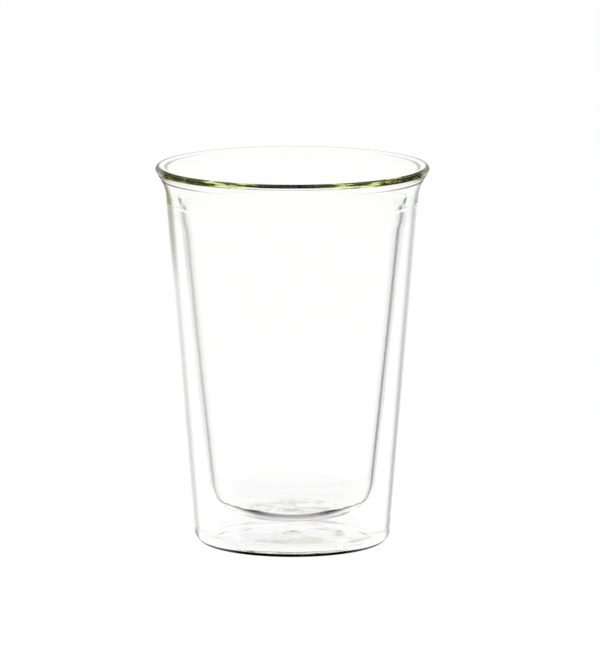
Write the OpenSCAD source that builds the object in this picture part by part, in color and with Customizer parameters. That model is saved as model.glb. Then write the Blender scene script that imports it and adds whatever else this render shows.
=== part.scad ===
// Double walled glass tumbler: a deep inner cup hung inside an outer jacket.
// The two walls meet only in the lip, and the space between them is closed and holds air.
// The cup stands on the table at z = 0 and turns about the z axis.

/* [Overall] */
// Outside diameter of the lip, the widest place of the cup
rim_d = 90; // [76:0.5:104]
// Height of the lip's top above the table
cup_h = 125.5; // [100:0.1:150]
// Thickness of the blown walls
wall_t = 1.5; // [1.2:0.05:1.8]

/* [Outer jacket] */
// Outside diameter that the jacket's straight wall would reach at the table
jacket_foot_d = 64; // [56:0.1:72]
// How far the lip stands out past the top of the jacket's straight wall
flare_w = 3.5; // [3:0.05:4.4]
// How far below the lip's top the jacket's straight wall ends and the flare starts
flare_h = 10; // [8.6:0.1:12]
// Outside radius of the rounding between the jacket's wall and its foot
foot_round = 4.3; // [3.4:0.1:5.6]

/* [Inner cup] */
// Gap between the inner cup and the jacket where the flare starts
air_top_w = 2.2; // [1.8:0.05:2.6]
// Gap between the two walls at the level of the inner cup's underside
air_low_w = 4.9; // [3.6:0.1:6.4]
// Gap between the floor and the inner cup's underside, beside the punt
air_floor_h = 7.1; // [3:0.1:14]
// How far below the lip's top the closed space between the walls ends
air_end_h = 9.6; // [9:0.1:11]
// How far down from there the jacket thickens to close the space to a wedge
air_taper_h = 8.5; // [6:0.5:11]
// Radius of the round at the tip of that wedge
air_tip_round = 0.3; // [0.2:0.05:0.5]
// Outside radius of the rounding between the inner cup's wall and its bottom
inner_round = 13.7; // [9:0.1:17]
// How far below the lip's top the inside of the cup starts to open into the mouth
mouth_h = 12; // [11:0.1:13]

/* [Lip] */
// Radius of the lip's rounded outer edge
lip_round = 1.15; // [1:0.05:1.4]
// Radius of the wider round that the lip rolls over inwards
lip_roll = 4.7; // [3.8:0.1:5.4]
// How far the lip's lower round lies below its upper one
lip_drop = 1.2; // [0.9:0.05:1.5]
// How far the lip's lower round stands in from its upper one
lip_lean = 0.7; // [0.5:0.05:0.9]

/* [Base] */
// Thickness of the floor above its foot ring
floor_t = 2.4; // [2:0.1:2.9]
// Width of the foot ring that rests on the table, inside the seam of the floor
foot_ring_w = 1.3; // [1:0.05:1.8]
// Width of the slope between the foot ring and the recess
recess_slope_w = 0.9; // [0.6:0.05:1.3]
// How far the underside lies above the table inside the foot ring
recess_h = 0.8; // [0.6:0.05:1]
// Width of the flat land between the recess's slope and the punt
land_w = 7.9; // [5:0.1:10]
// Height of the punt, a dome pushed up in the middle, the same above and below the floor
punt_h = 0.9; // [0.6:0.05:1.3]

/* [Seal] */
// Diameter of the hole that let the hot air out of the space between the walls
vent_d = 4; // [3:0.1:5]
// How far the melted button that closes the hole laps its edge
button_lap = 2; // [1.4:0.1:3]
// How far the button stands proud of the floor, inside and below
button_h = 0.5; // [0.3:0.05:0.7]

/* [Hidden] */

glass_clear = [0.90, 0.93, 0.92, 0.35];
glass_edge = [0.42, 0.47, 0.25, 0.70];
glass_base = [0.84, 0.86, 0.84, 0.45];
glass_seal = [0.70, 0.68, 0.62, 0.60];

$fn = 128;
// Straight pieces that stand for one rounding
arc_steps = 12;
// The same for the small round at the tip of the air space
tip_steps = 4;

// Points along a circle from one angle to another
function arc(centre, radius, from, to, steps = arc_steps) =
    [for (i = [0:steps]) centre + radius * turn(from + (to - from) * i / steps)];
function turn(angle) = [cos(angle), sin(angle)];
function slope_of(v) = atan2(v.y, v.x);

// Heights along the cup
jacket_top_z = cup_h - flare_h;
mouth_z = cup_h - mouth_h;
inner_bottom_z = floor_t + air_floor_h;

// Jacket: lean of its wall, and its outside and inside radius at a height
jacket_top_r = rim_d / 2 - flare_w;
jacket_lean = atan2(jacket_top_r - jacket_foot_d / 2, jacket_top_z);
function jacket_out(z) = jacket_foot_d / 2 + z * tan(jacket_lean);
function jacket_in(z) = jacket_out(z) - wall_t / cos(jacket_lean);

// Inner cup: the same three, set in from the jacket by the air gaps
inner_top_r = jacket_in(jacket_top_z) - air_top_w;
inner_low_r = jacket_in(inner_bottom_z) - air_low_w;
inner_lean = atan2(inner_top_r - inner_low_r, jacket_top_z - inner_bottom_z);
function inner_out(z) = inner_low_r + (z - inner_bottom_z) * tan(inner_lean);
function inner_in(z) = inner_out(z) - wall_t / cos(inner_lean);

// Rounding at the foot: it touches the table and the jacket's wall
foot_c = [jacket_foot_d / 2 + foot_round * (tan(jacket_lean) - 1 / cos(jacket_lean)), foot_round];
// The floor is let into the jacket where that rounding reaches the table
floor_r = foot_c.x;
// Rounding inside the jacket: it touches the wall, and the floor over the same seam
heel_round = ((foot_round - wall_t) / cos(jacket_lean) + (floor_t - foot_round) * tan(jacket_lean))
    / (1 / cos(jacket_lean) - tan(jacket_lean));
heel_c = [floor_r, floor_t + heel_round];

// Rounding at the bottom of the inner cup
bowl_z = inner_bottom_z + inner_round;
bowl_c = [inner_out(bowl_z) - inner_round / cos(inner_lean), bowl_z];

// Closed end of the space between the walls: a small round on the inner cup's wall
tip_z = cup_h - air_end_h - air_tip_round;
tip_c = [inner_out(tip_z) + air_tip_round / cos(inner_lean), tip_z];

// Taper: one wide round that leaves the jacket's wall inside and meets the round of the tip
taper_z = tip_z - air_taper_h;
taper_start = [jacket_in(taper_z), taper_z];
jacket_side = turn(-jacket_lean);
taper_gap = taper_start - tip_c;
taper_round = (taper_gap * taper_gap - air_tip_round ^ 2) / (2 * (taper_gap * jacket_side - air_tip_round));
taper_c = taper_start - taper_round * jacket_side;
taper_end = slope_of(tip_c - taper_c);

// Lip: an upper and a lower round outside, and the wider roll inside
lip_c = [rim_d / 2 - lip_round, cup_h - lip_round];
lip_low_c = lip_c - [lip_lean, lip_drop];
lip_side = slope_of(lip_c - lip_low_c) - 90;
roll_c = [lip_c.x, cup_h - lip_roll];

// Flare: one hollow round that leaves the jacket's wall and meets the lip's lower round
flare_start = [jacket_top_r, jacket_top_z];
flare_gap = flare_start - lip_low_c;
flare_round = (flare_gap * flare_gap - lip_round ^ 2) / (2 * (lip_round - flare_gap * jacket_side));
flare_c = flare_start + flare_round * jacket_side;
flare_end = slope_of(lip_low_c - flare_c);

// Mouth: one round that leaves the inner cup's wall and meets the lip's roll
mouth_start = [inner_in(mouth_z), mouth_z];
mouth_out = turn(-inner_lean);
mouth_gap = mouth_start - roll_c;
mouth_round = (lip_roll ^ 2 - mouth_gap * mouth_gap) / (2 * (mouth_gap * mouth_out + lip_roll));
mouth_c = mouth_start + mouth_round * mouth_out;
mouth_end = slope_of(roll_c - mouth_c);

// Seams in the melted glass: under the lip, and between the two walls
lip_seam_out = flare_c + flare_round * turn(flare_end);
lip_seam_in = mouth_c + mouth_round * turn(mouth_end);
lip_seam_mid = (lip_seam_out + lip_seam_in) / 2;

// Foot ring and recess under the floor
foot_in_r = floor_r - foot_ring_w;
recess_r = foot_in_r - recess_slope_w;

// Punt: the same dome above and below the floor
punt_r = recess_r - land_w;
punt_round = (punt_r ^ 2 + punt_h ^ 2) / (2 * punt_h);
punt_angle = asin(punt_r / punt_round);
function punt_c(z) = [0, z + punt_h - punt_round];
function punt_z(z, r) = punt_c(z).y + sqrt(punt_round ^ 2 - r ^ 2);

// Button: a flat dome inside and one below, each lapping the rim of the vent hole
button_r = vent_d / 2 + button_lap;
button_round = (button_r ^ 2 + button_h ^ 2) / (2 * button_h);
button_angle = asin(button_r / button_round);
button_top_c = [0, punt_z(floor_t, button_r) + button_h - button_round];
button_low_c = [0, punt_z(recess_h, button_r) - button_h + button_round];

// Inner cup, from the seam under the lip down to its bottom and back up inside
module inner_cup() {
    color(glass_clear)
    rotate_extrude()
    polygon(concat(
        [lip_seam_mid],
        arc(tip_c, air_tip_round, 90, 180 - inner_lean, tip_steps),
        arc(bowl_c, inner_round, -inner_lean, -90),
        [[0, inner_bottom_z], [0, inner_bottom_z + wall_t]],
        arc(bowl_c, inner_round - wall_t, -90, -inner_lean),
        arc(mouth_c, mouth_round, 180 - inner_lean, mouth_end)
    ));
}

// Outer jacket, from the seam under the lip down to the seam of its floor
module outer_cup() {
    color(glass_clear)
    rotate_extrude()
    polygon(concat(
        [lip_seam_mid],
        arc(tip_c, air_tip_round, 90, taper_end, tip_steps),
        arc(taper_c, taper_round, taper_end, -jacket_lean),
        arc(heel_c, heel_round, -jacket_lean, -90),
        arc(foot_c, foot_round, -90, -jacket_lean),
        arc(flare_c, flare_round, 180 - jacket_lean, flare_end)
    ));
}

// Lip, melted round and joining the two walls
module rim_bead() {
    color(glass_edge)
    rotate_extrude()
    polygon(concat(
        [lip_seam_mid],
        arc(roll_c, lip_roll, mouth_end, 90),
        arc(lip_c, lip_round, 90, lip_side),
        arc(lip_low_c, lip_round, lip_side, flare_end - 180)
    ));
}

// Floor of the jacket with its foot ring, recess, punt and vent hole
module base_disc() {
    color(glass_base)
    difference() {
        rotate_extrude()
        polygon(concat(
            arc(punt_c(floor_t), punt_round, 90, 90 - punt_angle),
            [[floor_r, floor_t], [floor_r, 0], [foot_in_r, 0], [recess_r, recess_h]],
            arc(punt_c(recess_h), punt_round, 90 - punt_angle, 90)
        ));
        cylinder(h = floor_t + punt_h, d = vent_d);
    }
}

// Button of melted glass that fills the vent hole
module vent_seal() {
    color(glass_seal)
    rotate_extrude()
    polygon(concat(
        arc(button_top_c, button_round, 90, 90 - button_angle),
        [[vent_d / 2, punt_z(floor_t, vent_d / 2)]],
        [[vent_d / 2, punt_z(recess_h, vent_d / 2)]],
        arc(button_low_c, button_round, button_angle - 90, -90)
    ));
}

inner_cup();
outer_cup();
rim_bead();
base_disc();
vent_seal();
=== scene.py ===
import math

import bpy
import numpy as np
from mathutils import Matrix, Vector


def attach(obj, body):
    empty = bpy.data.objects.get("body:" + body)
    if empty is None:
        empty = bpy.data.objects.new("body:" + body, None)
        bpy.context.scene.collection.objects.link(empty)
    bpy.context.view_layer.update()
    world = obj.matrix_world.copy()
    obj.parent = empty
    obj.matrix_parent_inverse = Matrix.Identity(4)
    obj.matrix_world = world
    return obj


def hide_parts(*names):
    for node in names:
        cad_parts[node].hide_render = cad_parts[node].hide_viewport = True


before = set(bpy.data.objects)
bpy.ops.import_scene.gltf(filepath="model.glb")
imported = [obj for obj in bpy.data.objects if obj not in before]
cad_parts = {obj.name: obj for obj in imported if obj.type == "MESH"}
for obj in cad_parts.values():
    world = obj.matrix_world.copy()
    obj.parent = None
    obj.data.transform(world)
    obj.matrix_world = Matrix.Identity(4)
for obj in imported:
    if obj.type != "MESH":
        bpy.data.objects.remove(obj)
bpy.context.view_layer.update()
print("frame loaded:", sorted(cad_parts))


# Shader nodes

class Wire:
    # A node's output socket with arithmetic. Each operator adds one Math node, also in forms like 1 - mask.

    def __init__(self, shade, socket):
        self.shade = shade
        self.socket = socket

    def math(self, operation, *others, clamp=False):
        values = {i: v for i, v in enumerate((self,) + others)}
        return self.shade.add("ShaderNodeMath", {"operation": operation, "use_clamp": clamp}, values).out()

    def __add__(self, other):
        return self.math("ADD", other)

    def __radd__(self, other):
        return self.math("ADD", other)

    def __sub__(self, other):
        return self.math("SUBTRACT", other)

    def __rsub__(self, other):
        return self.math("MULTIPLY_ADD", -1.0, other)

    def __mul__(self, other):
        return self.math("MULTIPLY", other)

    def __rmul__(self, other):
        return self.math("MULTIPLY", other)


class Made:
    # A node that add() made; out() gives one of its outputs as a Wire.

    def __init__(self, shade, node):
        self.shade = shade
        self.node = node

    def out(self, name=0):
        return Wire(self.shade, self.node.outputs[name])


class Shade:
    # A node tree under construction. Settings go on before the inputs, because some change the sockets.

    def __init__(self, owner):
        owner.use_nodes = True
        self.tree = owner.node_tree
        self.tree.nodes.clear()

    def add(self, kind, settings=None, inputs=None):
        # One node of a kind. Each input gets a value or a link.
        node = self.tree.nodes.new(kind)
        for name, value in (settings or {}).items():
            setattr(node, name, value)
        for name, value in (inputs or {}).items():
            if isinstance(value, Made):
                value = value.out()
            if isinstance(value, Wire):
                self.tree.links.new(value.socket, node.inputs[name])
            else:
                node.inputs[name].default_value = value
        return Made(self, node)

    def ramp(self, value, span, start=0.0, end=1.0):
        # A value carried from the span to start..end, eased at both ends and held beyond them.
        return self.add("ShaderNodeMapRange", {"interpolation_type": "SMOOTHSTEP"}, {
            "Value": value, "From Min": span[0], "From Max": span[1], "To Min": start, "To Max": end}).out()

    def window(self, value, edges):
        # From 0 to 1 over the first two edges and, where there are four, back to 0 over the last two.
        rise = self.ramp(value, edges[:2])
        return rise if len(edges) == 2 else rise * self.ramp(value, edges[2:], 1.0, 0.0)

    def between(self, value, least):
        # least where the value is 0 and 1 where it is 1: value (1 - least) + least.
        return value * (1 - least) + least

    def mix(self, factor, first, second):
        # A colour from the first to the second.
        return self.add("ShaderNodeMix", {"data_type": "RGBA"}, {0: factor, 6: first, 7: second}).out(2)

    def clear(self, colour):
        # Light goes straight on, in this one colour.
        return self.add("ShaderNodeBsdfTransparent", None, {"Color": colour})

    def blend(self, factor, first, second):
        # A surface from the first to the second.
        return self.add("ShaderNodeMixShader", None, {0: factor, 1: first, 2: second})

    def mark(self, name):
        # One of the piece's own face attributes.
        return self.add("ShaderNodeAttribute", {"attribute_name": name}).out("Fac")

    def stretched(self, vector, scale):
        # Coordinates times a scale for each axis, so a scale under 1 draws a noise out along that axis.
        return self.add("ShaderNodeMapping", None, {"Vector": vector, "Scale": scale}).out()

    def noise(self, vector, scale, detail=2.0, roughness=0.5, distortion=0.0):
        # A layered noise from 0 to 1, with scale cells to the metre.
        return self.add("ShaderNodeTexNoise", None, {
            "Vector": vector, "Scale": scale, "Detail": detail, "Roughness": roughness,
            "Distortion": distortion}).out()


# Outlines: the sizes and roundings of the CAD source, in metres. Only the tip of the air space is sharper.

cup = {
    "rimRadius": 0.045,
    "height": 0.1255,
    "wall": 0.0015,
    "jacketFootRadius": 0.032,
    "flareWidth": 0.0035,
    "flareHeight": 0.010,
    "footRound": 0.0043,
    "airTop": 0.0022,
    "airLow": 0.0049,
    "airFloor": 0.0071,
    "airEnd": 0.0096,
    "airTaper": 0.0085,
    "airEndRound": 0.0001,                           # the CAD source has 0.0003
    "innerRound": 0.0137,
    "mouthHeight": 0.0120,
    "lipRound": 0.00115,
    "lipRoll": 0.0047,
    "lipDrop": 0.0012,
    "lipLean": 0.0007,
    "floor": 0.0024,
    "footRing": 0.0013,
    "recessSlope": 0.0009,
    "recess": 0.0008,
    "land": 0.0079,
    "punt": 0.0009,
    "ventRadius": 0.002,
    "buttonLap": 0.002,
    "button": 0.0005,
}
seamGap = 0.00001                                    # how far a piece draws back from a melted seam
tiny = 1e-9                                          # metres, counts as nothing
sharpAngle = 35                                      # degrees, past which an edge isn't shaded smooth
quarter = math.pi / 2


def turn(angle):
    # A unit vector (cos, sin) in the plane of radius and height.
    return np.array([math.cos(angle), math.sin(angle)])


def slopeOf(vector):
    # The angle whose tangent is height over radius.
    return math.atan2(vector[1], vector[0])


def arc(centre, radius, start, end, steps):
    # Points centre + radius (cos a, sin a), with a going evenly from start to end.
    angle = np.linspace(start, end, steps + 1)
    return np.asarray(centre) + radius * np.stack([np.cos(angle), np.sin(angle)], 1)


def line(start, end, steps):
    # Points start + t (end - start), with t going evenly from 0 to 1.
    t = np.linspace(0, 1, steps + 1)[:, None]
    return np.asarray(start) * (1 - t) + np.asarray(end) * t


def eased(t):
    # 3 t^2 - 2 t^3, which goes from 0 to 1 without a corner.
    return t * t * (3 - 2 * t)


def parted(points, *places):
    # The stretches of a stroke between some of its points, each with both its end points.
    starts, ends = (0,) + places, places + (len(points) - 1,)
    return [points[start:end + 1] for start, end in zip(starts, ends)]


def shapeOf(size):
    # Works out the centres and radii of all roundings from the sizes, as the CAD source does. A round's
    # centre lies one radius off each line that it touches, and the sum or difference of both radii off the
    # centre of a round.
    found = dict(size)
    tan, cos = math.tan, math.cos
    topZ = size["height"] - size["flareHeight"]
    topR = size["rimRadius"] - size["flareWidth"]
    found["lean"] = lean = math.atan2(topR - size["jacketFootRadius"], topZ)
    out = lambda z: size["jacketFootRadius"] + z * tan(lean)
    jacketIn = lambda z: out(z) - size["wall"] / cos(lean)
    lowZ = size["floor"] + size["airFloor"]
    lowR = jacketIn(lowZ) - size["airLow"]
    found["innerLean"] = innerLean = math.atan2(jacketIn(topZ) - size["airTop"] - lowR, topZ - lowZ)
    innerOut = lambda z: lowR + (z - lowZ) * tan(innerLean)
    innerIn = lambda z: innerOut(z) - size["wall"] / cos(innerLean)
    found["bottomZ"] = lowZ

    foot = size["footRound"]
    found["floorR"] = size["jacketFootRadius"] + foot * (tan(lean) - 1 / cos(lean))
    found["footC"] = np.array([found["floorR"], foot])
    heelReach = (foot - size["wall"]) / cos(lean) + (size["floor"] - foot) * tan(lean)
    found["heelRound"] = heelReach / (1 / cos(lean) - tan(lean))
    found["heelC"] = np.array([found["floorR"], size["floor"] + found["heelRound"]])
    bowlZ = lowZ + size["innerRound"]
    found["bowlC"] = np.array([innerOut(bowlZ) - size["innerRound"] / cos(innerLean), bowlZ])

    end = size["airEndRound"]
    endZ = size["height"] - size["airEnd"] - end
    found["gapC"] = np.array([innerOut(endZ) + end / cos(innerLean), endZ])
    start = np.array([jacketIn(endZ - size["airTaper"]), endZ - size["airTaper"]])
    away, across = start - found["gapC"], turn(-lean)
    found["taperRound"] = (away @ away - end ** 2) / (2 * (away @ across - end))
    found["taperC"] = start - found["taperRound"] * across
    found["taperEnd"] = slopeOf(found["gapC"] - found["taperC"])

    lip = size["lipRound"]
    found["lipC"] = np.array([size["rimRadius"] - lip, size["height"] - lip])
    found["lipLowC"] = found["lipC"] - np.array([size["lipLean"], size["lipDrop"]])
    found["lipSide"] = slopeOf(found["lipC"] - found["lipLowC"]) - quarter
    away, across = np.array([topR, topZ]) - found["lipLowC"], turn(-lean)
    found["flareRound"] = (away @ away - lip ** 2) / (2 * (lip - away @ across))
    found["flareC"] = np.array([topR, topZ]) + found["flareRound"] * across
    found["flareEnd"] = slopeOf(found["lipLowC"] - found["flareC"])
    start = np.array([innerIn(size["height"] - size["mouthHeight"]), size["height"] - size["mouthHeight"]])
    roll = size["lipRoll"]
    found["rollC"] = np.array([size["rimRadius"] - lip, size["height"] - roll])
    away, across = start - found["rollC"], turn(-innerLean)
    found["mouthRound"] = (roll ** 2 - away @ away) / (2 * (away @ across + roll))
    found["mouthC"] = start + found["mouthRound"] * across
    found["mouthEnd"] = slopeOf(found["rollC"] - found["mouthC"])

    found["seamOut"] = found["flareC"] + found["flareRound"] * turn(found["flareEnd"])
    found["seamIn"] = found["mouthC"] + found["mouthRound"] * turn(found["mouthEnd"])
    found["seamMid"] = (found["seamOut"] + found["seamIn"]) / 2

    found["footInR"] = found["floorR"] - size["footRing"]
    found["recessR"] = found["footInR"] - size["recessSlope"]
    found["puntR"] = found["recessR"] - size["land"]
    found["puntRound"] = (found["puntR"] ** 2 + size["punt"] ** 2) / (2 * size["punt"])
    found["buttonR"] = size["ventRadius"] + size["buttonLap"]
    found["buttonRound"] = (found["buttonR"] ** 2 + size["button"] ** 2) / (2 * size["button"])
    return found


shape = shapeOf(cup)


# Pieces: closed outlines turned about the z axis

# How much each layer of the material gets of a stretch of an outline, by the stretch's own mark. The layers
# are the painted dark outline of a wall ("rind"), the dark melted edge, painted shade with painted
# highlights ("brim"), a thin painted dark line ("line", at the joint under the lip and on the slope round
# the recess) and streaks ("swirl"), of stirred glass in the cup and a patch under the base. A stretch marked
# "seam" is melted to another piece, and one marked "bare" is plain glass.
markWeights = {
    "rind": {"rind": 1.0, "brimRind": 1.0, "line": 1.0},
    "brim": {"brim": 1.0, "brimRind": 1.0, "halfBrim": 0.5},
    "line": {"line": 1.0},
    "swirl": {"swirl": 1.0},
}

# Where the mark of a stroke changes, counted in its points.
changes = {
    "bowl": (12,), "foot": (19,), "flare": (34, 41), "roll": (11, 17), "lipTop": (21,), "lipSide": (2,)}


def join(strokes, shift=(0, 0)):
    # Chains strokes (mark, points) into one closed outline, with the mark of each stretch. Seam points move
    # by shift * seamGap, so no two pieces share a face and a ray meets both.
    points = np.concatenate([stroke[:-1] for mark, stroke in strokes])
    marks = np.concatenate([np.full(len(stroke) - 1, mark) for mark, stroke in strokes])
    seam = marks == "seam"
    points[seam | np.roll(seam, 1)] += np.array(shift) * seamGap
    return points, marks


def innerCupOutline():
    # From the lip's seam down the outside, round the bottom to the axis, and back up inside to the mouth.
    gapTop = shape["gapC"] + [0, cup["airEndRound"]]
    under, floor = [0, shape["bottomZ"]], [0, shape["bottomZ"] + cup["wall"]]
    gap = arc(shape["gapC"], cup["airEndRound"], quarter, math.pi - shape["innerLean"], steps=6)
    bowl = arc(shape["bowlC"], shape["innerRound"], -shape["innerLean"], -quarter, steps=40)
    wall = line(gap[-1], bowl[0], steps=90)
    bowlSide, bowlLow = parted(bowl, *changes["bowl"])
    inside = arc(shape["bowlC"], shape["innerRound"] - cup["wall"], -quarter, -shape["innerLean"], steps=40)
    mouthStart = math.pi - shape["innerLean"]
    mouth = arc(shape["mouthC"], shape["mouthRound"], mouthStart, shape["mouthEnd"], steps=36)
    return join([
        ("seam", line(shape["seamIn"], shape["seamMid"], steps=3)),
        ("seam", line(shape["seamMid"], gapTop, steps=8)),
        ("rind", gap),
        ("rind", wall),
        ("rind", bowlSide),
        ("brimRind", bowlLow),
        ("brimRind", line(bowl[-1], under, steps=20)),
        ("bare", line(under, floor, steps=1)),
        ("swirl", line(floor, inside[0], steps=20)),
        ("bare", inside),
        ("bare", line(inside[-1], mouth[0], steps=70)),
        ("bare", mouth),
    ], (-1, -1))


def outerCupOutline():
    # From the lip's seam down beside the air space, along the floor's seam, and back up outside over the
    # flare.
    gapTop = shape["gapC"] + [0, cup["airEndRound"]]
    gap = arc(shape["gapC"], cup["airEndRound"], quarter, shape["taperEnd"], steps=6)
    taper = arc(shape["taperC"], shape["taperRound"], shape["taperEnd"], -shape["lean"], steps=24)
    heel = arc(shape["heelC"], shape["heelRound"], -shape["lean"], -quarter, steps=20)
    foot = arc(shape["footC"], shape["footRound"], -quarter, -shape["lean"], steps=28)
    footLow, footSide = parted(foot, *changes["foot"])
    flare = arc(shape["flareC"], shape["flareRound"], math.pi - shape["lean"], shape["flareEnd"], steps=45)
    flareLow, flareLine, flareTop = parted(flare, *changes["flare"])
    return join([
        ("seam", line(shape["seamOut"], shape["seamMid"], steps=3)),
        ("seam", line(shape["seamMid"], gapTop, steps=8)),
        ("bare", gap),
        ("bare", taper),
        ("bare", line(taper[-1], heel[0], steps=80)),
        ("bare", heel),
        ("seam", line(heel[-1], foot[0], steps=2)),
        ("brim", footLow),
        ("rind", footSide),
        ("rind", line(foot[-1], flare[0], steps=80)),
        ("rind", flareLow),
        ("line", flareLine),
        ("rind", flareTop),
    ], (1, -1))


def rimBeadOutline():
    # From the seam up over the roll inside, round the top, and down the two rounds outside.
    roll = arc(shape["rollC"], shape["lipRoll"], shape["mouthEnd"], quarter, steps=30)
    top = arc(shape["lipC"], shape["lipRound"], quarter, shape["lipSide"], steps=30)
    low = arc(shape["lipLowC"], shape["lipRound"], shape["lipSide"], shape["flareEnd"] - math.pi, steps=16)
    rollLow, rollLine, rollTop = parted(roll, *changes["roll"])
    topBrim, topSide = parted(top, *changes["lipTop"])
    sideTop, sideLow = parted(line(top[-1], low[0], steps=12), *changes["lipSide"])
    return join([
        ("seam", line(shape["seamOut"], shape["seamMid"], steps=3)),
        ("seam", line(shape["seamMid"], shape["seamIn"], steps=3)),
        ("bare", rollLow),
        ("line", rollLine),
        ("bare", rollTop),
        ("brim", topBrim),
        ("halfBrim", topSide),
        ("halfBrim", sideTop),
        ("rind", sideLow),
        ("rind", low),
    ], (1, 1))


def puntLine(z, start, end, steps):
    # Points on the punt's dome over the height z: z + punt - R + sqrt(R^2 - r^2), with r from start to end.
    r = np.linspace(start, end, steps + 1)
    return np.stack([r, z + cup["punt"] - shape["puntRound"] + np.sqrt(shape["puntRound"] ** 2 - r ** 2)], 1)


def puntPoint(z, r):
    # The point at radius r on the punt's dome over the height z.
    return puntLine(z, r, r, steps=1)[0]


def easedLine(start, end, steps):
    # Points from start to end whose height is eased, 3 t^2 - 2 t^3, like a melted step.
    points = line(start, end, steps)
    t = np.linspace(0, 1, steps + 1)
    points[:, 1] = start[1] + (end[1] - start[1]) * eased(t)
    return points


def baseDiscOutline():
    # Up the vent hole, out over the punt and the floor, down the seam, and back under the foot ring and the
    # recess.
    vent, button, punt, edge = cup["ventRadius"], shape["buttonR"], shape["puntR"], shape["floorR"]
    holeLow, holeTop = puntPoint(cup["recess"], vent), puntPoint(cup["floor"], vent)
    return join([
        ("seam", line(holeLow, holeTop, steps=2)),
        ("seam", puntLine(cup["floor"], vent, button, steps=6)),
        ("bare", puntLine(cup["floor"], button, punt, steps=30)),
        ("bare", line([punt, cup["floor"]], [edge, cup["floor"]], steps=20)),
        ("seam", line([edge, cup["floor"]], [edge, 0], steps=2)),
        ("bare", line([edge, 0], [shape["footInR"], 0], steps=3)),
        ("line", easedLine([shape["footInR"], 0], [shape["recessR"], cup["recess"]], steps=12)),
        ("bare", line([shape["recessR"], cup["recess"]], [punt, cup["recess"]], steps=16)),
        ("swirl", puntLine(cup["recess"], punt, button, steps=30)),
        ("seam", puntLine(cup["recess"], button, vent, steps=6)),
    ])


def ventSealOutline():
    # The dome below, the seam round the hole, and the dome above. A dome's radius is (r^2 + h^2) / 2h.
    vent, button, radius = cup["ventRadius"], shape["buttonR"], shape["buttonRound"]
    edgeTop, edgeLow = puntPoint(cup["floor"], button), puntPoint(cup["recess"], button)
    half = math.asin(button / radius)
    domeUp = arc(edgeTop + [-button, cup["button"] - radius], radius, quarter - half, quarter, steps=14)
    domeDown = arc(edgeLow + [-button, radius - cup["button"]], radius, -quarter, half - quarter, steps=14)
    holeTop = puntLine(cup["floor"], vent, button, steps=6)
    holeLow = puntLine(cup["recess"], button, vent, steps=6)
    return join([
        ("bare", domeDown),
        ("seam", holeLow),
        ("seam", line(holeLow[-1], holeTop[0], steps=2)),
        ("seam", holeTop),
        ("swirl", domeUp),
        ("bare", line(domeUp[-1], domeDown[0], steps=1)),
    ])


def apartFrom(length, total, marks):
    # The shortest way along the closed outline from each point to the nearest of the marks.
    if len(marks) == 0:
        return np.full(len(length), total)
    apart = np.abs(length[:, None] - marks[None, :])
    return np.minimum(apart, total - apart).min(1)


def rippled(points, seam, around, look):
    # Grids x, y, z of the turned outline. Each point moves along the outline's normal by a sum of sines of
    # the angle and of the length along the outline, like hand-drawn glass: ripple * sum(sin(count * angle +
    # length / pitch + phase)) / number of sines, fading to nothing at seams and at the axis.
    step = np.roll(points, -1, 0) - points
    length = np.concatenate([[0], np.cumsum(np.linalg.norm(step, axis=1))])
    total, length = length[-1], length[:-1]
    along = np.roll(points, -1, 0) - np.roll(points, 1, 0)
    normal = np.stack([along[:, 1], -along[:, 0]], 1)
    normal /= np.maximum(np.linalg.norm(normal, axis=1), tiny)[:, None]
    theta = np.linspace(0, 2 * math.pi, around, endpoint=False)
    draw = np.random.default_rng(look["seed"])
    lift = np.zeros((len(points), around))
    for count, pitch in look["counts"]:
        lift += np.sin(count * theta[None, :] + length[:, None] / pitch + draw.uniform(0, 2 * math.pi))
    fade = np.clip(apartFrom(length, total, length[seam]) / look["fade"], 0, 1)
    fade = eased(fade) * points[:, 0] / (points[:, 0] + look["fade"])
    lift *= look["ripple"] / len(look["counts"]) * fade[:, None]
    r = points[:, :1] + normal[:, :1] * lift
    z = points[:, 1:] + normal[:, 1:] * lift
    return r * np.cos(theta), r * np.sin(theta), z


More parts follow.
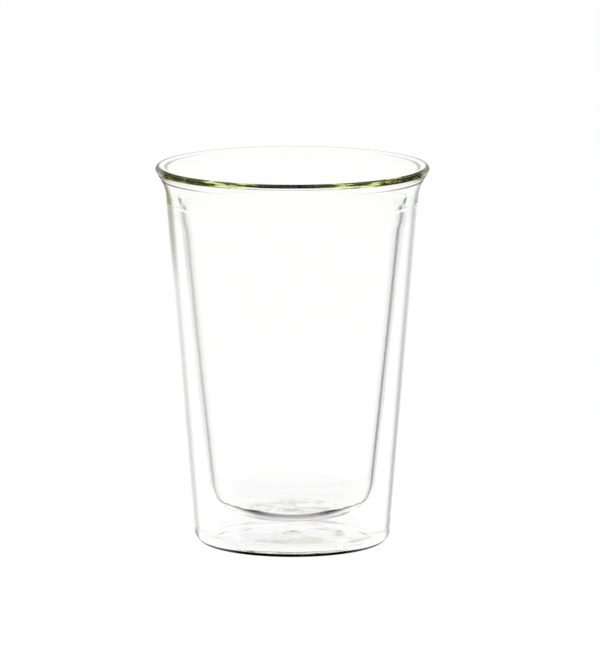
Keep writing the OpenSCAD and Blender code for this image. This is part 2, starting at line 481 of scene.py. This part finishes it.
def turned(name, look):
    # Turns a closed outline about the z axis into a closed mesh with its faces outward. A point (r, z) goes
    # to (r cos a, r sin a, z), with the angle a going once round in even steps. Rows on the axis become one
    # point.
    around = look["around"]
    points, marks = look["profile"]()
    after = np.roll(points, -1, 0)
    area = (points[:, 0] * after[:, 1] - after[:, 0] * points[:, 1]).sum()
    if area < 0:                                     # outlines run anticlockwise from here on
        points, marks = points[::-1].copy(), np.roll(marks[::-1], -1)
    x, y, z = rippled(points, marks == "seam", around, look)
    rows = len(points)
    onAxis = points[:, 0] < tiny
    index = np.arange(rows * around).reshape(rows, around)
    index[onAxis] = index[onAxis, :1]
    below, nextIndex = np.roll(onAxis, -1), np.roll(index, -1, 0)
    quads = np.stack([index, np.roll(index, -1, 1), np.roll(nextIndex, -1, 1), nextIndex], 2)
    whole, upper, lower = ~onAxis & ~below, onAxis & ~below, ~onAxis & below
    fans = [quads[upper][..., [0, 2, 3]].reshape(-1, 3), quads[lower][..., [0, 1, 2]].reshape(-1, 3)]
    corners = [quads[whole].reshape(-1, 4)] + fans
    row = np.concatenate([np.repeat(np.flatnonzero(kind), around) for kind in (whole, upper, lower)])
    used, compact = np.unique(np.concatenate([part.ravel() for part in corners]), return_inverse=True)
    vertices = np.stack([x.ravel(), y.ravel(), z.ravel()], 1)[used]
    sizes = np.concatenate([np.full(len(part), part.shape[1]) for part in corners])

    mesh = bpy.data.meshes.new(name)
    mesh.vertices.add(len(vertices))
    mesh.vertices.foreach_set("co", vertices.astype(np.float32).ravel())
    mesh.loops.add(len(compact))
    mesh.loops.foreach_set("vertex_index", compact.astype(np.int32).ravel())
    mesh.polygons.add(len(sizes))
    mesh.polygons.foreach_set("loop_start", np.concatenate([[0], np.cumsum(sizes)[:-1]]).astype(np.int32))
    mesh.materials.append(glass(name + "Glass", look))
    mesh.update(calc_edges=True)
    melted = marks == "seam"
    weights, reach = {}, range(-look["ease"], look["ease"] + 1)
    for layer, shares in markWeights.items():        # each eased over the neighbouring rows
        weight = sum(share * (marks == mark) for mark, share in shares.items())
        weights[layer] = np.mean([np.roll(weight, by) for by in reach], 0) * ~melted
    weights["seam"] = melted
    for layer, weight in weights.items():
        mesh.attributes.new(layer, "FLOAT", "FACE").data.foreach_set("value", weight.astype(np.float32)[row])
    mesh.shade_smooth()
    mesh.set_sharp_from_angle(angle=math.radians(sharpAngle))
    piece = bpy.data.objects.new(name, mesh)
    bpy.context.scene.collection.objects.link(piece)
    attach(piece, "root")
    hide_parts(look["node"])
    print("piece", name, "faces", len(sizes))


# Materials

white = (1.0, 1.0, 1.0, 1.0)
# Near black: the painted shade of the walls low down the cup.
nearBlack = (0.02, 0.02, 0.02, 1.0)
faintShadow = (0.97, 0.97, 0.97, 1.0)                # what each surface lets through of a lamp's light

# What all pieces share. The noises are scale per metre, detail and roughness.
drawnGlass = {
    "index": 1.47, "bump": 0.0001, "waves": (90.0, 2.0, 0.45), "grain": (420.0, 2.0, 0.5),
    "patches": (55.0, 3.0, 0.6), "patchEdge": (0.52, 0.78),
    "lively": (45.0, 1.0, 0.5), "livelyEdge": (0.35, 0.65)}

# Distances below the end of the air space. From there up, the walls are one melted mass that hardly bends
# the light. It sets in lower for light that leaves the glass than for light that enters it, because light
# that goes straight in mustn't meet a bending surface on its way out. Over "tip" a wall's painted dark line
# moves from its place in bent light to its own.
parting = {"enter": (0.0022, 0.0016), "leave": (0.0031, 0.0025), "depth": 0.96, "tip": (0.0028, 0.0008)}

# The same at the outer ends of the foot, in heights above the table and in distances from the middle, |x|.
footParting = {
    "enter": (0.0040, 0.0060), "enterAside": (0.0205, 0.0265),
    "leave": (0.0050, 0.0070), "leaveAside": (0.0135, 0.0195)}

# Where the painted shade, the painted highlights and the swirl tones change: from left to right, with the
# height, and from the near side to the far one.
spread = {
    "sides": (-0.04, 0.04), "middle": (-0.02, 0.02), "fromLow": (0.035, 0.09), "toHigh": (0.084, 0.106),
    "nearBrim": (-0.005, 0.010), "nearSwirl": (-0.002, 0.008), "tones": (0.4, 0.6)}

# How much of a mark brings in all of its layer.
markEdge = {"line": (0.0, 0.3), "ring": (0.2, 0.6), "brim": (0.0, 0.4)}


class Skin:
    # What every layer of a glass reads. facing is 0 where the surface looks at the viewer and 1 where it is
    # seen edge on. side is the same for the upright surface there, whose normal is (x, y, 0) made 1 long.
    # outer is 1 where light enters the glass and 0 where it leaves.

    def __init__(self, shade):
        self.place = shade.add("ShaderNodeTexCoord").out("Object")
        axes = shade.add("ShaderNodeSeparateXYZ", None, {"Vector": self.place})
        self.x, self.y, self.z = axes.out("X"), axes.out("Y"), axes.out("Z")
        self.aside = self.x.math("ABSOLUTE")
        self.facing = shade.add("ShaderNodeLayerWeight", None, {"Blend": 0.5}).out("Facing")
        flat = shade.add("ShaderNodeVectorMath", {"operation": "MULTIPLY"}, {0: self.place, 1: (1, 1, 0)})
        radial = shade.add("ShaderNodeVectorMath", {"operation": "NORMALIZE"}, {0: flat})
        self.side = shade.add("ShaderNodeLayerWeight", None, {"Blend": 0.5, "Normal": radial}).out("Facing")
        self.outer = 1 - shade.add("ShaderNodeNewGeometry").out("Backfacing")


def upperLeft(shade, skin):
    # 1 at the upper left of the cup, eased to 0 downwards and to the right: where the painted shade turns
    # olive.
    return shade.ramp(skin.z, spread["toHigh"]) * shade.ramp(skin.x, spread["middle"], 1.0, 0.0)


def paintedEdgeShade(shade, skin, look, colour):
    # Painted shade in the glass's colour: a wall's soft dark outline where it turns from the view,
    # window(side) * depth, with a narrow thread in it, uneven like drawn glass. The painted tone goes from
    # left to right over x, to high at the upper left, and to near black down the cup.
    rind = look["rind"]
    shown = shade.window(skin.side, rind["band"]) * rind["depth"]
    if "thread" in rind:
        shown = (shown + shade.window(skin.side, rind["thread"]) * rind["threadDepth"]).math("MINIMUM", 1.0)
    drawn = shade.noise(shade.stretched(skin.place, look["stretch"]), *drawnGlass["lively"])
    lively = shade.ramp(drawn, drawnGlass["livelyEdge"], 1 - rind["lively"], 1.0)
    dark = shade.mix(shade.ramp(skin.x, spread["sides"]), rind["left"], rind["right"])
    dark = shade.mix(upperLeft(shade, skin), dark, rind["high"])
    if "low" in rind:
        dark = shade.mix(shade.ramp(skin.z, spread["fromLow"], rind["low"], 0.0), dark, nearBlack)
    return shade.mix(shown * lively * skin.outer * shade.mark("rind"), colour, dark)


def swirlColour(shade, skin, swirl, colour):
    # Streaks of a distorted noise, ramp(noise) * depth, in two tones that a noise twice as wide mixes:
    # stirred glass in the inner cup and the seal. Where there is "warmth", in the patch under the base, the
    # tones also go from left to right, and the streaks fade to "rear" on the far side.
    stir = shade.noise(skin.place, swirl["scale"] / 2, 1.0)
    streaks = shade.noise(skin.place, swirl["scale"], distortion=swirl["distortion"])
    shown = shade.ramp(streaks, swirl["edge"], swirl["least"], 1.0) * shade.mark("swirl") * swirl["depth"]
    if "warmth" in swirl:
        stir = stir + skin.x * swirl["warmth"]
        shown = shown * shade.ramp(skin.y, spread["nearSwirl"], 1.0, swirl["rear"])
    stirred = shade.mix(shade.ramp(stir, spread["tones"]), swirl["dark"], swirl["light"])
    return shade.mix(shown, colour, stirred)


def tipLine(shade, skin, tip, melted):
    # Painted shade: a wall's dark outline drawn in the clear glass, window(side) * depth. Where there is a
    # "shift", its lower end bends inwards by that much of side and pales to "least", to meet the outline
    # below.
    endZ, side, depth = shape["gapC"][1], skin.side, tip["depth"]
    if "shift" in tip:
        near = shade.ramp(skin.z, (endZ - parting["tip"][0], endZ - parting["tip"][1]))
        side = side + (1 - near) * tip["shift"]
        depth = shade.between(near, tip["least"]) * depth
    shown = shade.window(side, tip["band"]) * skin.outer * shade.mark("rind") * depth
    toRight = shade.ramp(skin.x, spread["middle"])
    tone = shade.blend(toRight, shade.clear(tip["left"]), shade.clear(tip["right"]))
    return shade.blend(shown, melted, tone)


def softness(shade, skin, foot):
    # How clear the glass is: the most of the marks of melted seams, of the ramps over the height under the
    # lip, and of the ramps over the height times those over the distance from the middle at the foot.
    endZ, (inFrom, inTo), (outFrom, outTo) = shape["gapC"][1], parting["enter"], parting["leave"]
    entering = shade.ramp(skin.z, (endZ - inFrom, endZ - inTo), 0.0, parting["depth"]) * skin.outer
    leaving = shade.ramp(skin.z, (endZ - outFrom, endZ - outTo)) * (1 - skin.outer)
    soft = (entering + leaving).math("MAXIMUM", shade.mark("seam"))
    if foot:
        lowIn = shade.ramp(skin.z, foot["enter"], 1.0, 0.0) * shade.ramp(skin.aside, foot["enterAside"])
        lowOut = shade.ramp(skin.z, foot["leave"], 1.0, 0.0) * shade.ramp(skin.aside, foot["leaveAside"])
        soft = soft.math("MAXIMUM", lowIn * skin.outer + lowOut * (1 - skin.outer))
    return soft


def edgeTone(shade, skin, edge, body):
    # Painted shade: a dark olive tone on the outermost part of a wall's outline at the upper left,
    # window(side) * depth.
    shown = shade.window(skin.side, edge["band"]) * skin.outer * shade.mark("rind") * upperLeft(shade, skin)
    return shade.blend(shown * edge["depth"], body, shade.clear(edge["tone"]))


def turnedEdge(shade, skin, outline, body):
    # Painted shade: the dark outline of the lip's two ends, ramp(facing) * depth, off the thin contour, from
    # "least" in the middle to all of it at the ends.
    marked = (shade.mark("rind") + shade.mark("brim") - shade.mark("line")).math("MINIMUM", 1.0, clamp=True)
    shown = shade.ramp(skin.facing, outline["facing"], 0.0, outline["depth"]) * skin.outer * marked
    shown = shown * shade.ramp(skin.aside, outline["aside"], outline["least"], 1.0)
    return shade.blend(shown, body, shade.clear(outline["tone"]))


def contourLine(shade, skin, contour, body):
    # Painted shade: the thin dark contour of the joint, ramp(side + mark) * depth, so it is narrow and grows
    # towards the ends.
    marked = shade.mark("line")
    shown = shade.ramp(skin.side + marked, contour["sum"], 0.0, contour["depth"])
    shown = shown * shade.ramp(marked, markEdge["line"]) * skin.outer
    return shade.blend(shown, body, shade.clear(contour["tone"]))


def ringLine(shade, skin, ring, body):
    # Painted shade: a dark line on the far part of the slope round the recess, ramp(facing) * depth,
    # strongest just inside its two ends.
    shown = shade.ramp(skin.facing, ring["facing"], 0.0, ring["depth"])
    shown = shown * shade.ramp(shade.mark("line"), markEdge["ring"])
    shown = shown * shade.between(shade.window(skin.aside, ring["aside"]), ring["least"])
    shown = shown * shade.ramp(skin.aside, ring["aside"][2:], 1.0, 0.0) * shade.ramp(skin.y, ring["rear"])
    return shade.blend(shown, body, shade.clear(ring["tone"]))


def brimEdge(shade, skin, brim, body):
    # Painted shade and painted highlights: a dark band, window(facing + mark) * depth, on the melted lip,
    # which carries the light along inside, and on the lowest rounds of the foot and the inner bowl, with
    # depth going over to endDepth at the ends. Its tone goes from "in" at the middle to "out", with painted
    # bright streaks of a stretched noise on the near side. The lip also has a painted lighter crest and
    # brighter painted peaks.
    outward = shade.ramp(skin.aside, brim["aside"])
    nearSide = shade.ramp(skin.y, spread["nearBrim"], 1.0, 0.0)
    streak = shade.noise(shade.stretched(skin.place, brim["stretch"]), brim["scale"])
    if "lit" in brim:
        streak = streak + shade.window(skin.aside, brim["lit"]) * brim["litBy"]
    gleam = shade.ramp(streak, brim["gleam"]) * shade.between(outward, brim["inGleam"]) * nearSide
    if "gleamEnd" in brim:
        gleam = gleam * shade.ramp(skin.aside, brim["gleamEnd"], 1.0, brim["endGleam"])
    edging = shade.blend(outward, shade.clear(brim["in"]), shade.clear(brim["out"]))
    edging = shade.blend(gleam, edging, shade.clear(brim["bright"]))
    if "crest" in brim:
        crest = shade.ramp(skin.z, brim["crest"]) * outward * brim["crestDepth"]
        edging = shade.blend(crest, edging, shade.clear(brim["crestTone"]))
        peak = shade.ramp(streak, brim["peak"]) * outward * nearSide
        peak = peak * shade.ramp(skin.aside, brim["peakEnd"], 1.0, brim["endGleam"])
        edging = shade.blend(peak, edging, shade.clear(brim["peakTone"]))
    marked = shade.mark("brim")
    seen = skin.facing + marked
    if "thin" in brim:
        seen = seen - shade.ramp(skin.aside, brim["thinAside"]) * brim["thin"]
    shown = shade.window(seen, brim["band"]) * shade.ramp(marked, markEdge["brim"]) * skin.outer
    if "inDepth" in brim:
        shown = shown * shade.between(outward, brim["inDepth"])
    shown = shown * shade.ramp(skin.aside, brim["end"], brim["depth"], brim["endDepth"])
    return shade.blend(shown, body, edging)


def glass(name, look):
    # Clear borosilicate glass, which soaks up all but "tint" at "density" per metre. Its skin has waves of
    # a stretched noise, fine grain, and a little roughness in patches. Where it is melted to other glass it
    # is clear and doesn't bend the light. Over both lie painted shade and painted highlights, the dark lines
    # and tones and the bright streaks that the surround draws in a real cup, each blended in by a factor of
    # its own. Shadow rays pass, so the shadow is faint.
    material = bpy.data.materials.new(name)
    shade = Shade(material)
    skin = Skin(shade)
    waves = shade.noise(shade.stretched(skin.place, look["stretch"]), *drawnGlass["waves"]) * look["wave"]
    grain = shade.noise(skin.place, *drawnGlass["grain"]) * look["grain"]
    bump = shade.add("ShaderNodeBump", None, {
        "Strength": 1.0, "Distance": drawnGlass["bump"], "Height": waves + grain})
    patches = shade.noise(skin.place, *drawnGlass["patches"])
    smudges = shade.ramp(patches, drawnGlass["patchEdge"], 0.0, look["smudge"])
    colour = white
    if "rind" in look:
        colour = paintedEdgeShade(shade, skin, look, colour)
    if "swirl" in look:
        colour = swirlColour(shade, skin, look["swirl"], colour)
    body = shade.add("ShaderNodeBsdfPrincipled", None, {
        "Base Color": colour, "Roughness": smudges, "IOR": drawnGlass["index"], "Transmission Weight": 1.0,
        "Normal": bump})
    melted = shade.clear(white)
    if "tip" in look:
        melted = tipLine(shade, skin, look["tip"], melted)
    body = shade.blend(softness(shade, skin, look.get("foot")), body, melted)
    layers = {
        "edge": edgeTone, "outline": turnedEdge, "line": contourLine, "ring": ringLine, "brim": brimEdge}
    for part, layer in layers.items():
        if part in look:
            body = layer(shade, skin, look[part], body)
    shadowRay = shade.add("ShaderNodeLightPath").out("Is Shadow Ray")
    whole = shade.blend(shadowRay, body, shade.clear(faintShadow))
    inside = shade.add("ShaderNodeVolumeAbsorption", None, {
        "Color": look["tint"], "Density": look["density"]})
    shade.add("ShaderNodeOutputMaterial", None, {"Surface": whole, "Volume": inside})
    print("material", name)
    return material


# The pieces. A band is over how far the surface turns from the view, from 0 to 1, with the mark's weight
# added for "line" and "brim". Distances are in metres, and a tone is the share of the light that passes.
# A piece's rind, tip, edge, outline, line, ring and brim are painted shade; the gleam, bright, lit, peak and
# crest of a brim are painted highlights.
wallTint = (0.86, 0.92, 0.78, 1.0)
turned("outerJacket", {
    "node": "outer_cup", "slot": "outer_glass", "profile": outerCupOutline, "around": 288, "ease": 3,
    "seed": 23, "ripple": 0.00005, "fade": 0.006,
    "counts": [(2, 0.027), (3, -0.019), (4, 0.012), (9, -0.02)],
    "tint": wallTint, "density": 6.0,
    "stretch": (1.0, 1.0, 0.12), "wave": 0.35, "grain": 0.02, "smudge": 0.03,
    "rind": {
        "band": (0.62, 0.76, 0.79, 0.95), "depth": 0.92, "lively": 0.2, "low": 0.75,
        "left": (0.31, 0.30, 0.22, 1.0), "right": (0.12, 0.12, 0.14, 1.0), "high": (0.22, 0.20, 0.03, 1.0)},
    "tip": {
        "band": (0.66, 0.80, 0.84, 0.97), "depth": 0.9,
        "left": (0.36, 0.34, 0.22, 1.0), "right": (0.45, 0.45, 0.46, 1.0)},
    "foot": footParting,
    "edge": {"band": (0.64, 0.78), "depth": 0.40, "tone": (0.22, 0.20, 0.03, 1.0)},
    "line": {"sum": (1.10, 1.28), "depth": 0.7, "tone": (0.10, 0.09, 0.08, 1.0)},
    "brim": {
        "band": (1.26, 1.38), "depth": 1.0, "end": (0.020, 0.029), "endDepth": 0.9,
        "thin": 0.22, "thinAside": (0.016, 0.027), "aside": (0.016, 0.024),
        "in": (0.006, 0.003, 0.003, 1.0), "out": (0.085, 0.08, 0.075, 1.0),
        "scale": 60.0, "stretch": (1.0, 1.0, 3.0), "gleam": (0.62, 0.75), "inGleam": 0.2,
        "bright": (0.3, 0.28, 0.28, 1.0)}})
turned("innerCup", {
    "node": "inner_cup", "slot": "inner_glass", "profile": innerCupOutline, "around": 288, "ease": 4,
    "seed": 11, "ripple": 0.00006, "fade": 0.006,
    "counts": [(2, 0.021), (3, -0.013), (5, 0.009), (7, -0.017)],
    "tint": wallTint, "density": 6.0,
    "stretch": (1.0, 1.0, 0.12), "wave": 0.35, "grain": 0.02, "smudge": 0.03,
    "rind": {
        "band": (0.51, 0.68, 0.73, 0.96), "depth": 0.60, "lively": 0.15, "low": 1.0,
        "thread": (0.625, 0.67, 0.685, 0.745), "threadDepth": 0.55,
        "left": (0.12, 0.12, 0.10, 1.0), "right": (0.03, 0.03, 0.03, 1.0), "high": (0.10, 0.10, 0.09, 1.0)},
    "tip": {
        "band": (0.70, 0.80, 0.86, 0.93), "depth": 0.9, "least": 0.7, "shift": 0.08,
        "left": (0.33, 0.33, 0.30, 1.0), "right": (0.20, 0.20, 0.20, 1.0)},
    "brim": {
        "band": (1.42, 1.48, 1.51, 1.72), "depth": 1.0, "end": (0.016, 0.024), "endDepth": 0.7,
        "inDepth": 0.6, "aside": (0.004, 0.0135),
        "in": (0.60, 0.58, 0.55, 1.0), "out": (0.02, 0.02, 0.02, 1.0),
        "scale": 60.0, "stretch": (1.0, 1.0, 1.0), "gleam": (0.55, 0.75), "inGleam": 1.0,
        "bright": (0.5, 0.48, 0.45, 1.0)},
    "swirl": {
        "scale": 110.0, "distortion": 1.5, "edge": (0.43, 0.55), "least": 0.0, "depth": 0.8,
        "dark": (0.25, 0.24, 0.22, 1.0), "light": (0.55, 0.53, 0.50, 1.0)}})
turned("meltedLip", {
    "node": "rim_bead", "slot": "rim_glass", "profile": rimBeadOutline, "around": 384, "ease": 2,
    "seed": 31, "ripple": 0.00003, "fade": 0.0009,
    "counts": [(3, 0.003), (7, -0.002), (12, 0.004), (19, -0.003)],
    "tint": (0.78, 0.84, 0.50, 1.0), "density": 10.0,
    "stretch": (1.0, 1.0, 1.0), "wave": 0.8, "grain": 0.05, "smudge": 0.02,
    "rind": {
        "band": (0.22, 0.42), "depth": 0.9, "lively": 0.2,
        "left": (0.14, 0.12, 0.045, 1.0), "right": (0.14, 0.12, 0.045, 1.0),
        "high": (0.14, 0.12, 0.045, 1.0)},
    "tip": {
        "band": (0.60, 0.80), "depth": 0.35,
        "left": (0.30, 0.28, 0.20, 1.0), "right": (0.30, 0.28, 0.22, 1.0)},
    "outline": {
        "facing": (0.40, 0.75), "depth": 0.85, "aside": (0.038, 0.0430), "least": 0.2,
        "tone": (0.20, 0.19, 0.15, 1.0)},
    "line": {"sum": (1.20, 1.40), "depth": 0.28, "tone": (0.10, 0.10, 0.08, 1.0)},
    "brim": {
        "band": (0.60, 0.76), "depth": 0.98, "end": (0.0414, 0.0436), "endDepth": 0.12,
        "aside": (0.006, 0.018), "in": (0.003, 0.003, 0.001, 1.0), "out": (0.020, 0.025, 0.004, 1.0),
        "scale": 170.0, "stretch": (1.0, 1.0, 10.0), "gleam": (0.50, 0.62), "inGleam": 0.15,
        "gleamEnd": (0.030, 0.036), "endGleam": 0.2, "lit": (0.008, 0.016, 0.026, 0.031), "litBy": 0.10,
        "bright": (0.22, 0.27, 0.03, 1.0),
        "peak": (0.59, 0.66), "peakEnd": (0.032, 0.037), "peakTone": (0.72, 0.78, 0.28, 1.0),
        "crest": (cup["height"] - 0.0008, cup["height"] - 0.0002), "crestDepth": 0.5,
        "crestTone": (0.17, 0.155, 0.03, 1.0)}})
turned("jacketFloor", {
    "node": "base_disc", "slot": "base_glass", "profile": baseDiscOutline, "around": 288, "ease": 2,
    "seed": 43, "ripple": 0.00008, "fade": 0.003,
    "counts": [(1, 0.004), (2, -0.003), (4, 0.0022), (6, -0.003)],
    "tint": wallTint, "density": 6.0,
    "stretch": (1.0, 1.0, 1.0), "wave": 0.7, "grain": 0.07, "smudge": 0.03,
    "foot": footParting,
    "ring": {
        "facing": (0.40, 0.65), "depth": 0.95, "aside": (0.010, 0.019, 0.0248, 0.0264), "least": 0.4,
        "rear": (-0.001, 0.004), "tone": (0.12, 0.09, 0.06, 1.0)},
    "swirl": {
        "scale": 90.0, "distortion": 1.2, "edge": (0.40, 0.60), "least": 0.6, "depth": 0.95,
        "warmth": 12.0, "rear": 0.12, "dark": (0.42, 0.42, 0.47, 1.0), "light": (0.62, 0.58, 0.44, 1.0)}})
turned("sealButton", {
    "node": "vent_seal", "slot": "seal_glass", "profile": ventSealOutline, "around": 96, "ease": 1,
    "seed": 57, "ripple": 0.00008, "fade": 0.001,
    "counts": [(1, 0.0012), (2, -0.0009), (3, 0.0007)],
    "tint": wallTint, "density": 6.0,
    "stretch": (1.0, 1.0, 1.0), "wave": 1.2, "grain": 0.07, "smudge": 0.03,
    "swirl": {
        "scale": 240.0, "distortion": 1.5, "edge": (0.42, 0.60), "least": 0.1, "depth": 0.25,
        "dark": (0.20, 0.20, 0.21, 1.0), "light": (0.60, 0.58, 0.55, 1.0)}})


# Stage: floor, world, lamps and camera

studio = {
    "floorHalf": 14.0, "floorColour": (0.92, 0.92, 0.92, 1.0), "floorWhite": 0.95,
    "overhead": (0.34, 0.64), "overheadLoss": 0.45, "fillLoss": 0.45}
view = {
    "elevation": 9.46, "distance": 2.636, "aimZ": 0.0723,
    "frameHeight": 650, "focalPixels": 8000.7, "offsetPixels": 7.6, "sensor": 36.0}


def paleFloor(half):
    # A square of the given half width at z = 0. It is matt, and white to the camera and in glass, but for a
    # share that keeps the cup's shadow.
    mesh = bpy.data.meshes.new("floor")
    corners = [(-half, -half, 0), (half, -half, 0), (half, half, 0), (-half, half, 0)]
    mesh.from_pydata(corners, [], [(0, 1, 2, 3)])
    floor = bpy.data.objects.new("floor", mesh)
    bpy.context.scene.collection.objects.link(floor)
    material = bpy.data.materials.new("paleFloor")
    shade = Shade(material)
    path = shade.add("ShaderNodeLightPath")
    seen = path.out("Is Camera Ray") + path.out("Is Glossy Ray") + path.out("Is Transmission Ray")
    matt = shade.add("ShaderNodeBsdfDiffuse", None, {"Color": studio["floorColour"]})
    glow = shade.add("ShaderNodeEmission", None, {"Color": white, "Strength": 1.0})
    both = shade.blend(seen.math("MINIMUM", 1.0) * studio["floorWhite"], matt, glow)
    shade.add("ShaderNodeOutputMaterial", None, {"Surface": both})
    mesh.materials.append(material)


def studioWorld():
    # White round the horizon and darker overhead, the same on every side: 1 - overheadLoss * ramp(height)
    # in glass and gloss, 1 - fillLoss for the light on matt surfaces, and white to the camera.
    world = bpy.data.worlds.new("studio")
    bpy.context.scene.world = world
    shade = Shade(world)
    direction = shade.add("ShaderNodeTexCoord").out("Generated")
    height = shade.add("ShaderNodeSeparateXYZ", None, {"Vector": direction}).out("Z")
    path = shade.add("ShaderNodeLightPath")
    gloss = (path.out("Is Glossy Ray") + path.out("Is Transmission Ray")).math("MINIMUM", 1.0)
    unseen = 1 - path.out("Is Camera Ray")
    level = unseen * gloss * shade.ramp(height, studio["overhead"]) * studio["overheadLoss"]
    fill = unseen * (1 - gloss) * studio["fillLoss"]
    shade.add("ShaderNodeOutputWorld", None, {"Surface": shade.add("ShaderNodeBackground", None, {
        "Color": white, "Strength": 1 - level - fill})})


def softLamp(name, place, target, size, power):
    # A round lamp, size metres wide, that looks from its place at the target.
    lamp = bpy.data.lights.new(name, "AREA")
    lamp.shape = "DISK"
    lamp.size = size
    lamp.energy = power
    holder = bpy.data.objects.new(name, lamp)
    holder.location = place
    holder.rotation_euler = (Vector(target) - Vector(place)).to_track_quat("-Z", "Y").to_euler()
    holder.visible_glossy = holder.visible_transmission = False    # no lamp shapes in the glass
    bpy.context.scene.collection.objects.link(holder)


def photoCamera():
    # Looks down a little at the cup through a long lens, as the photo does, with the cup left of the
    # middle. It stands at (0, -d cos e, aimZ + d sin e) and its lens is focalPixels / frameHeight sensor
    # widths long.
    elevation, distance = math.radians(view["elevation"]), view["distance"]
    camera = bpy.data.cameras.new("camera")
    camera.sensor_width = view["sensor"]
    camera.lens = view["focalPixels"] / view["frameHeight"] * camera.sensor_width
    camera.shift_x = view["offsetPixels"] / view["frameHeight"]
    camera.clip_end = 100.0
    holder = bpy.data.objects.new("camera", camera)
    holder.location = (0.0, -distance * math.cos(elevation), view["aimZ"] + distance * math.sin(elevation))
    holder.rotation_euler = (math.pi / 2 - elevation, 0.0, 0.0)
    bpy.context.scene.collection.objects.link(holder)
    bpy.context.scene.camera = holder


paleFloor(studio["floorHalf"])
studioWorld()
softLamp("keyLamp", (-1.2, -0.9, 1.8), (0.0, 0.0, 0.06), 1.6, 38.0)
softLamp("fillLamp", (1.5, -0.4, 1.4), (0.0, 0.0, 0.06), 1.8, 24.0)
photoCamera()
print("stage ready")

scene = bpy.context.scene
scene.view_settings.view_transform = "Standard"
scene.cycles.max_bounces = 32
scene.cycles.transmission_bounces = 32
scene.cycles.glossy_bounces = 16
scene.cycles.transparent_max_bounces = 32

bpy.context.view_layer.update()
